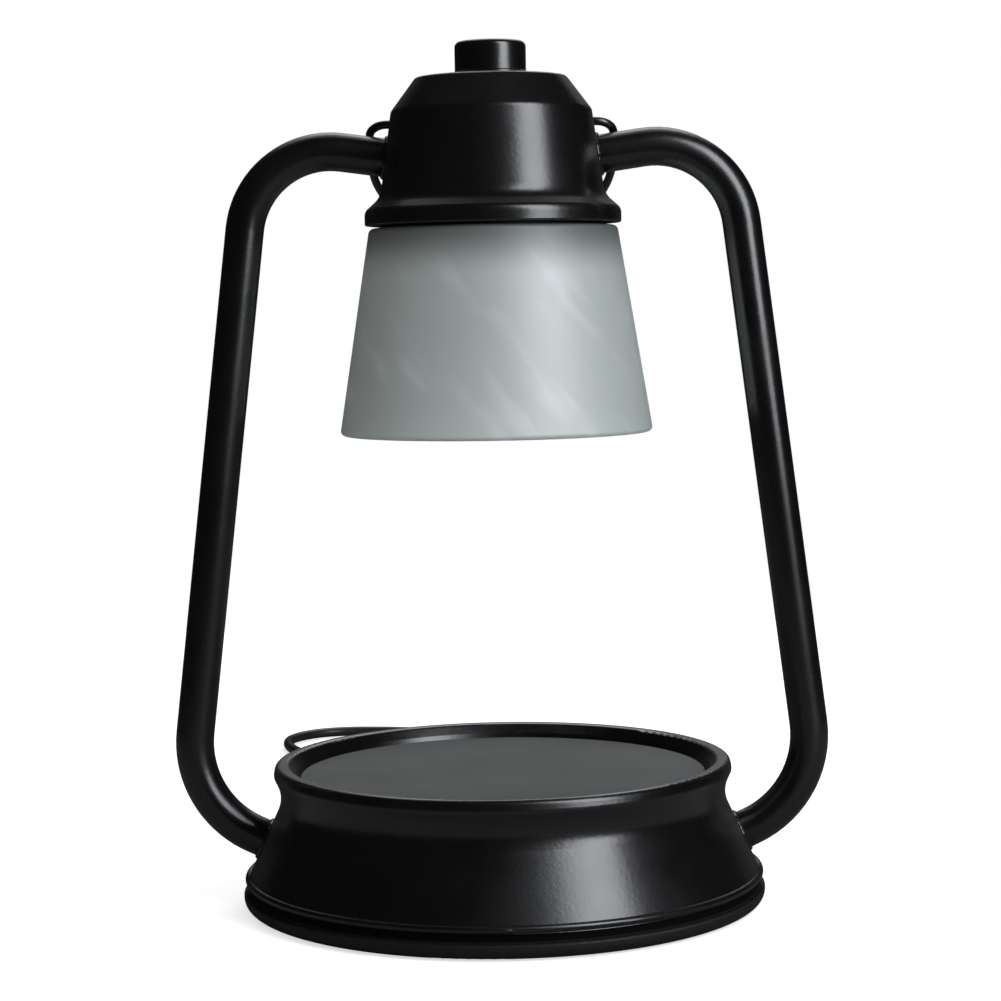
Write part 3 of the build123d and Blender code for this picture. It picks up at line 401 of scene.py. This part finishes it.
def add_screws(shape):
    """Add the six screws to a bmesh."""
    for circle, angle in screw_places:
        across, back = circle * cos(radians(angle)), circle * sin(radians(angle))
        rings = [
            [
                (across + reach * cos(turn), back + reach * sin(turn), level)
                for reach, turn in zip(reaches, head_turns)
            ]
            for reaches, level in screw_rings
        ]
        skin(shape, rings)


recessed_screws = new_piece("recessed_screws", add_screws)
recessed_screws.data.set_sharp_from_angle(angle=radians(35))
recessed_screws.data.materials.append(bpy.data.materials["zinc_steel"])
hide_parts("cover_screws")
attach(recessed_screws, "stand")

# ---------------------------------------------------------------- frosted glass shade
# Pressed glass, acid-frosted to a satin skin, grey-green in its thickness, with faint slanting wipe marks.
# It hangs by its inner lip, close under the flange. A painted shadow of the flange darkens the colour of
# its shoulder and thins its coat there. The shoulder and the mouth are rounded by the mould.
shade_low, shade_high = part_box("glass_shade")
glass_wall = 0.003
shade_lip_radius = 0.0304
shade_top_radius = 0.0386
shade_mouth_radius = 0.0489
inner_top_radius = shade_top_radius + 0.0005 - glass_wall
flange_shadow = (0.0160, 0.0010)  # where it begins and where it is full, down from the top
lip_rounding = 0.0006
shoulder_rounding = 0.0018
mouth_rounding = 0.0014
inner_rounding = 0.0015
shade_outline = [
    (shade_lip_radius, shade_high.z, lip_rounding),
    (shade_top_radius, shade_high.z, shoulder_rounding),
    (shade_mouth_radius, shade_low.z, mouth_rounding),
    (shade_mouth_radius - glass_wall, shade_low.z, mouth_rounding),
    (inner_top_radius, shade_high.z - glass_wall, inner_rounding),
    (shade_lip_radius, shade_high.z - glass_wall, lip_rounding),
]


def rounded(corners, steps=6):
    """Closed outline through (radius, height, rounding) corners, with an arc at each corner."""
    outline = []
    for index, (across, up, rounding) in enumerate(corners):
        corner = Vector((across, up))
        before = (Vector(corners[index - 1][:2]) - corner).normalized()
        after = (Vector(corners[(index + 1) % len(corners)][:2]) - corner).normalized()
        half = before.angle(after) / 2
        centre = corner + (before + after).normalized() * (rounding / sin(half))
        first = corner + before * (rounding / tan(half)) - centre
        last = corner + after * (rounding / tan(half)) - centre
        for step in range(steps + 1):
            outline.append(centre + rounding * first.lerp(last, step / steps).normalized())
    return outline


def turned(shape, outline, sides):
    """Add the skin of revolution about Z of a closed (radius, height) outline to a bmesh."""
    turns = [2 * pi * side / sides for side in range(sides)]
    rings = [[(spot.x * cos(turn), spot.x * sin(turn), spot.y) for turn in turns] for spot in outline]
    skin(shape, rings, closed=True)


def streaks(place, scale):
    """Noise from 0 to 1 that is drawn out most along the axis with the smallest scale."""
    stretched = place.node("ShaderNodeMapping", inputs={"Vector": place, "Scale": scale})
    return stretched.node("ShaderNodeTexNoise", inputs={"Vector": stretched, "Scale": 1.0})


frosted_shade = new_piece("frosted_shade", lambda shape: turned(shape, rounded(shade_outline), 144))
shader, place = finish(
    "shade_glass",
    IOR=1.5,
    Transmission_Weight=0.5,
    Specular_IOR_Level=1.0,
    Coat_Roughness=0.55,
    Coat_IOR=2.0,
)
wipe_lean = (0, radians(-53), 0)
leaning = place.node("ShaderNodeMapping", inputs={"Vector": place, "Rotation": wipe_lean})
wipes = fade(streaks(leaning, (31, 31, 125)), 0.50, 0.72)
# Painted shadow: towards the top, under the flange, the glass turns dark grey-green and its coat thins.
painted_flange_shadow = fade(height_of(place), *[shade_high.z - down for down in flange_shadow])
frost = tint(wipes, (0.675, 0.74, 0.72), (0.80, 0.86, 0.85))
feed(
    shader,
    Coat_Weight=1 - 0.65 * painted_flange_shadow,
    Base_Color=tint(painted_flange_shadow, frost, (0.19, 0.215, 0.205)),
    Roughness=fade(wipes, 0.0, 1.0, 0.52, 0.45),
    Normal=relief(grain(place, 0.0003), 0.00004),
)
frosted_shade.data.materials.append(bpy.data.materials["shade_glass"])
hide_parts("glass_shade")
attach(frosted_shade, "stand")

# ---------------------------------------------------------------- bulb
# Halogen capsule in a mirrored glass reflector with a clear front lens. The reflector's inside is pressed
# in small facets, in rings round the axis.
shader, place = finish("clear_glass", IOR=1.47, Transmission_Weight=1.0)
feed(
    shader,
    Base_Color=tint(grain(place, 0.006), (0.93, 0.95, 0.95), (0.98, 0.99, 0.99)),
    Roughness=fade(grain(place, 0.004), 0.3, 0.7, 0.01, 0.05),
    Normal=relief(grain(place, 0.003), 0.00004),
)

facets_round = 32
facet_pitch = 0.005
shader, place = finish("reflector", Metallic=1.0)
round_axis = place.node("ShaderNodeTexGradient", {"gradient_type": "RADIAL"}, {"Vector": place})
columns = place.math("SINE", 2 * pi * facets_round * round_axis)
rows = place.math("SINE", 2 * pi / facet_pitch * height_of(place))
facets = columns * rows
feed(
    shader,
    Base_Color=tint(facets, (0.80, 0.81, 0.84), (0.90, 0.90, 0.91)),
    Roughness=fade(grain(place, 0.003), 0.3, 0.7, 0.10, 0.18),
    Normal=relief(facets, 0.0003),
)


def tubes(shape, paths, radii, sides, closed=False):
    """Add a round skin along each path, with one radius per point, to a bmesh."""
    turns = [2 * pi * side / sides for side in range(sides)]
    for path in paths:
        count = len(path)
        rings = []
        across = None
        for index, centre in enumerate(path):
            after = path[(index + 1) % count] if closed or index + 1 < count else centre
            before = path[index - 1] if closed or index else centre
            along = (after - before).normalized()
            across = along.orthogonal() if across is None else across - along * across.dot(along)
            across.normalize()
            third = along.cross(across)
            spokes = [cos(turn) * across + sin(turn) * third for turn in turns]
            rings.append([centre + radii[index] * spoke for spoke in spokes])
        skin(shape, rings, closed)


filament_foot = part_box("bulb_capsule")[0].z + 0.006
filament_height = 0.009
filament_radius = 0.0011
filament_wire_radius = 0.00018
filament_turns = 14
filament_sides = 10
filament_steps = filament_sides * filament_turns
filament_path = [
    Vector(
        (
            filament_radius * cos(2 * pi * step / filament_sides),
            filament_radius * sin(2 * pi * step / filament_sides),
            filament_foot + filament_height * step / filament_steps,
        )
    )
    for step in range(filament_steps + 1)
]
filament = new_piece(
    "bulb_filament",
    lambda shape: tubes(shape, [filament_path], [filament_wire_radius] * len(filament_path), 8),
)
shader, place = finish("tungsten", Metallic=1.0)
feed(
    shader,
    Base_Color=tint(grain(place, 0.0008), (0.30, 0.30, 0.31), (0.42, 0.42, 0.43)),
    Roughness=fade(grain(place, 0.0005), 0.3, 0.7, 0.35, 0.5),
)
filament.data.materials.append(bpy.data.materials["tungsten"])
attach(filament, "stand")

# ---------------------------------------------------------------- ceramic
# Unglazed steatite of the lamp holder and of the bulb's neck: off-white and slightly chalky.
shader, place = finish("ceramic", Specular_IOR_Level=0.4)
chalk = grain(place, 0.0012, 4.0)
feed(
    shader,
    Base_Color=tint(chalk, (0.78, 0.76, 0.71), (0.86, 0.84, 0.79)),
    Roughness=fade(chalk, 0.3, 0.7, 0.55, 0.72),
    Normal=relief(chalk, 0.00006),
)

# ---------------------------------------------------------------- brass
# Plain drawn and turned brass of the plug's blades, the bulb's pins, the terminals and the bushing.
shader, place = finish("contact_brass", Metallic=1.0)
lines = streaks(place, (2600, 60, 2600))
feed(
    shader,
    Base_Color=tint(grain(place, 0.004), (0.72, 0.58, 0.31), (0.80, 0.68, 0.40)),
    Roughness=fade(lines, 0.3, 0.7, 0.24, 0.38),
    Normal=relief(lines, 0.00001),
)

# ---------------------------------------------------------------- mouldings
# Black mouldings of the plug, the dimmer, the shade's ring and the cord clamp with a spark-eroded skin,
# and the off-white junction block.
shader, place = finish("black_plastic", Specular_IOR_Level=0.45)
eroded = grain(place, 0.0004, 3.0)
feed(
    shader,
    Base_Color=tint(eroded, (0.011, 0.011, 0.012), (0.018, 0.018, 0.019)),
    Roughness=fade(grain(place, 0.006), 0.3, 0.7, 0.44, 0.56),
    Normal=relief(eroded, 0.00004),
)
shader, place = finish("white_plastic", Specular_IOR_Level=0.45)
feed(
    shader,
    Base_Color=tint(grain(place, 0.005, 3.0), (0.74, 0.73, 0.69), (0.82, 0.81, 0.77)),
    Roughness=fade(grain(place, 0.004), 0.3, 0.7, 0.38, 0.5),
    Normal=relief(grain(place, 0.0004), 0.00003),
)

# ---------------------------------------------------------------- arm welds
# The thin fillet of weld, under the same coat, where each bent tube is coped to the base and to the head.
tube_radius = 0.006
weld_radius = 0.0009
seam_steps = 72
cone_foot = Vector((0.0811, 0.0076))
cone_neck = Vector((0.0689, 0.0342))
cone_port_height = 0.020
wall_foot = Vector((0.0349, 0.2210))
wall_top = Vector((0.0312, 0.2472))
wall_port_height = 0.2333


def weld_path(low, high, port_height, side):
    """Seam of a tube that lands square on the cone through two (radius, height) places. Each point of it
    is found by halving the stretch of the tube's wall on which it lies."""
    lean = atan2(low.x - high.x, high.y - low.y)
    slope = (high.x - low.x) / (high.y - low.y)
    port = Vector((side * (low.x + slope * (port_height - low.y)), 0, port_height))
    outward = Vector((side * cos(lean), 0, sin(lean)))
    level = Vector((0, 1, 0))
    upward = outward.cross(level)
    seam = []
    for step in range(seam_steps):
        turn = 2 * pi * step / seam_steps
        start = port + tube_radius * (cos(turn) * level + sin(turn) * upward)
        near, far = -tube_radius, tube_radius
        for halving in range(30):
            middle = (near + far) / 2
            spot = start + middle * outward
            if hypot(spot.x, spot.y) > low.x + slope * (spot.z - low.y):
                far = middle
            else:
                near = middle
        seam.append(start + near * outward)
    return seam


def weld_swell(step):
    """Thickness of the weld at a step round its seam: 18 ripples over 5 slower swells."""
    turn = 2 * pi * step / seam_steps
    return weld_radius * (0.88 + 0.12 * cos(18 * turn) + 0.06 * sin(5 * turn))


weld_radii = [weld_swell(step) for step in range(seam_steps)]
for name, low, high, port_height in (
    ("base_welds", cone_foot, cone_neck, cone_port_height),
    ("head_welds", wall_foot, wall_top, wall_port_height),
):
    seams = [weld_path(low, high, port_height, side) for side in (-1, 1)]
    welds = new_piece(name, lambda shape: tubes(shape, seams, weld_radii, 12, closed=True))
    welds.data.materials.append(bpy.data.materials["black_coat"])
    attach(welds, "stand")

# ---------------------------------------------------------------- strain relief
# The boot is moulded with five ribs round its taper, which let it bend evenly with the cord. Each end of
# the taper is given by its radius and its distance behind the lamp's middle.
lead_level = 0.015
boot_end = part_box("strain_relief")[1].y
boot_root = Vector((0.0044, 0.0761))
boot_tip = Vector((0.0028, boot_end))
boot_rib_radius = 0.0005
boot_rib_steps = 36
boot_turns = [2 * pi * step / boot_rib_steps for step in range(boot_rib_steps)]
boot_circles = []
for share in (0.30, 0.44, 0.58, 0.72, 0.86):
    radius, back = boot_root.lerp(boot_tip, share)
    boot_circles.append(
        [Vector((radius * cos(turn), back, lead_level + radius * sin(turn))) for turn in boot_turns]
    )
boot_ribs = new_piece(
    "boot_ribs",
    lambda shape: tubes(shape, boot_circles, [boot_rib_radius] * boot_rib_steps, 10, closed=True),
)
boot_ribs.data.materials.append(bpy.data.materials["dark_rubber"])
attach(boot_ribs, "stand")

# ---------------------------------------------------------------- plug
# Moulded plug with four ribs on each of its sloping flanks, for the fingers that pull it out. Its two
# brass blades are stamped from strip, with cut corners and a hole near the tip.
plug_low, plug_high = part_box("plug_body")
plug_middle = (plug_low + plug_high) / 2
flank_wide = Vector((0.0110, plug_low.y + 0.0135))  # out from the middle, and back
flank_narrow = Vector((0.0066, plug_low.y + 0.0270))
rib_rises = (-0.0034, -0.0031, -0.0018, 0.0018, 0.0031, 0.0034)  # from the middle, along a rib
rib_radii = (0.0001, 0.0004, 0.0005, 0.0005, 0.0004, 0.0001)
rib_lines = []
for side in (-1, 1):
    for share in (0.20, 0.38, 0.56, 0.74):
        out_from_middle, back = flank_wide.lerp(flank_narrow, share)
        across = plug_middle.x + side * out_from_middle
        rib_lines.append([Vector((across, back, plug_middle.z + rise)) for rise in rib_rises])
plug_ribs = new_piece("plug_ribs", lambda shape: tubes(shape, rib_lines, rib_radii, 10))
plug_ribs.data.materials.append(bpy.data.materials["black_plastic"])
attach(plug_ribs, "stand")

blades_low, blades_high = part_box("plug_blades")
blade_thickness = 0.0015
half_width = (blades_high.z - blades_low.z) / 2
tip_cut = blade_thickness
hole_radius = 0.0016
tip_reach = 0.0044
root_reach = blades_high.y - blades_low.y - tip_reach
corner_reach = (tip_reach - tip_cut + half_width) / sqrt(2)
blade_walls = [
    (0, root_reach),
    (pi / 2, half_width),
    (3 * pi / 4, corner_reach),
    (pi, tip_reach),
    (-3 * pi / 4, corner_reach),
    (-pi / 2, half_width),
]
blade_corners = [
    atan2(half_width, root_reach),
    atan2(half_width, tip_cut - tip_reach),
    atan2(half_width - tip_cut, -tip_reach),
]
blade_turns = sorted(
    [pi * step / 12 for step in range(24)] + blade_corners + [2 * pi - corner for corner in blade_corners]
)


def add_blades(shape):
    """Add the two blades to a bmesh. Their hole is the middle that each reach is measured from."""
    hole = [hole_radius] * len(blade_turns)
    edge = [plate_reach(turn, blade_walls) for turn in blade_turns]
    for middle in (blades_low.x + blade_thickness / 2, blades_high.x - blade_thickness / 2):
        rings = [
            [
                (
                    middle + side * blade_thickness / 2,
                    blades_low.y + tip_reach + reach * cos(turn),
                    plug_middle.z + reach * sin(turn),
                )
                for reach, turn in zip(reaches, blade_turns)
            ]
            for side, reaches in ((1, hole), (1, edge), (-1, edge), (-1, hole))
        ]
        skin(shape, rings, closed=True)


holed_blades = new_piece("holed_blades", add_blades)
holed_blades.data.set_sharp_from_angle(angle=radians(30))
holed_blades.data.materials.append(bpy.data.materials["contact_brass"])
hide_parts("plug_blades")
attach(holed_blades, "stand")

# ---------------------------------------------------------------- cord
# Round black mains cord, 4 mm across. It leaves the boot at the back, lies in one loose loop behind the
# lamp and is put away in a coil of six and a half turns, whose tail ends in the plug.
cord_radius = 0.002
lane = 0.004
exit_point = (0.0, boot_end, lead_level)
straight_run = 0.0148
coil_centre = Vector((-0.040, 0.165, 0.0068))
coil_radius = 0.022
coil_turns = 6.5
coil_start = 0.5
steps_per_turn = 16
corner_share = 4 / (3 + cos(2 * pi / steps_per_turn))
lanes = [330, 270, 210, None, 150, 90, 30]  # degrees round the middle lane, which is the None
last_lane = len(lanes) - 1
last_move = 20  # degrees round the coil, as are the next two
move_spacing = 22
move_length = 48
cord_points = [
    exit_point,
    (0.0, boot_end + straight_run, lead_level),
    (0.0080, 0.1355, 0.0106),
    (0.0230, 0.1540, 0.0043),
    (0.0400, 0.1750, 0.0021),
    (0.0470, 0.2080, 0.0021),
    (0.0410, 0.2450, 0.0021),
    (0.0180, 0.2750, 0.0021),
    (-0.0120, 0.2970, 0.0021),
    (-0.0440, 0.3110, 0.0021),
    (-0.0750, 0.3140, 0.0021),
    (-0.0920, 0.2970, 0.0021),
    (-0.0905, 0.2730, 0.0021),
    (-0.0780, 0.2480, 0.0021),
    (-0.0700, 0.2210, 0.0021),
    (-0.0672, 0.1940, 0.0034),
]


def lane_place(number):
    """Outward and upward offset of a lane of the coil, packed six round one."""
    angle = lanes[number]
    if angle is None:
        return Vector((0.0, 0.0))
    return lane * Vector((cos(radians(angle)), sin(radians(angle))))


# Each turn lies in one lane and moves to the next within its first half, a little earlier every time. The
# points stand outside the coil's circle by the share that the smooth curve cuts off at them.
for step in range(int(coil_turns * steps_per_turn) + 1):
    turns = coil_start + step / steps_per_turn
    number = int(turns - coil_start)
    angle = 360 * (turns - int(turns))
    move_start = last_move + move_spacing * (last_lane - 1 - number)
    passed = min(max((angle - move_start) / move_length, 0.0), 1.0) if angle < 180 else 0.0
    eased = passed * passed * (3 - 2 * passed)
    here = lane_place(number).lerp(lane_place(min(number + 1, last_lane)), eased)
    reach = (coil_radius + here.x) * corner_share
    cord_points.append(
        (
            coil_centre.x + reach * cos(radians(angle)),
            coil_centre.y + reach * sin(radians(angle)),
            coil_centre.z + here.y,
        )
    )
cord_points += [
    (-0.0139, 0.1810, 0.0066),
    (-0.0140, 0.1990, 0.0030),
    (-0.0144, 0.2140, 0.0021),
    (-0.0152, 0.2280, 0.0021),
    (-0.0091, 0.2362, 0.0021),
    (0.0005, 0.2393, 0.0028),
    (0.0101, 0.2362, 0.0049),
    (0.0160, 0.2280, 0.0071),
    (0.0160, 0.2185, 0.0071),
]
cord_line = bpy.data.curves.new("mains_cord", "CURVE")
cord_line.dimensions = "3D"
cord_line.bevel_depth = cord_radius
cord_line.bevel_resolution = 5
cord_line.use_fill_caps = True
cord_line.resolution_u = 8
run = cord_line.splines.new("NURBS")
run.points.add(len(cord_points) - 1)
for point, spot in zip(run.points, cord_points):
    point.co = (*spot, 1.0)
run.order_u = 3
run.use_endpoint_u = True
mains_cord = bpy.data.objects.new("mains_cord", cord_line)
bpy.context.scene.collection.objects.link(mains_cord)
shader, place = finish("cord_jacket", Specular_IOR_Level=0.5)
feed(
    shader,
    Base_Color=tint(grain(place, 0.004), (0.010, 0.010, 0.011), (0.016, 0.016, 0.017)),
    Roughness=fade(grain(place, 0.010, 3.0), 0.3, 0.7, 0.34, 0.48),
    Normal=relief(grain(place, 0.0005), 0.00003),
)
cord_line.materials.append(bpy.data.materials["cord_jacket"])
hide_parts("power_cord", "cord_coil", "cord_tail")
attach(mains_cord, "stand")
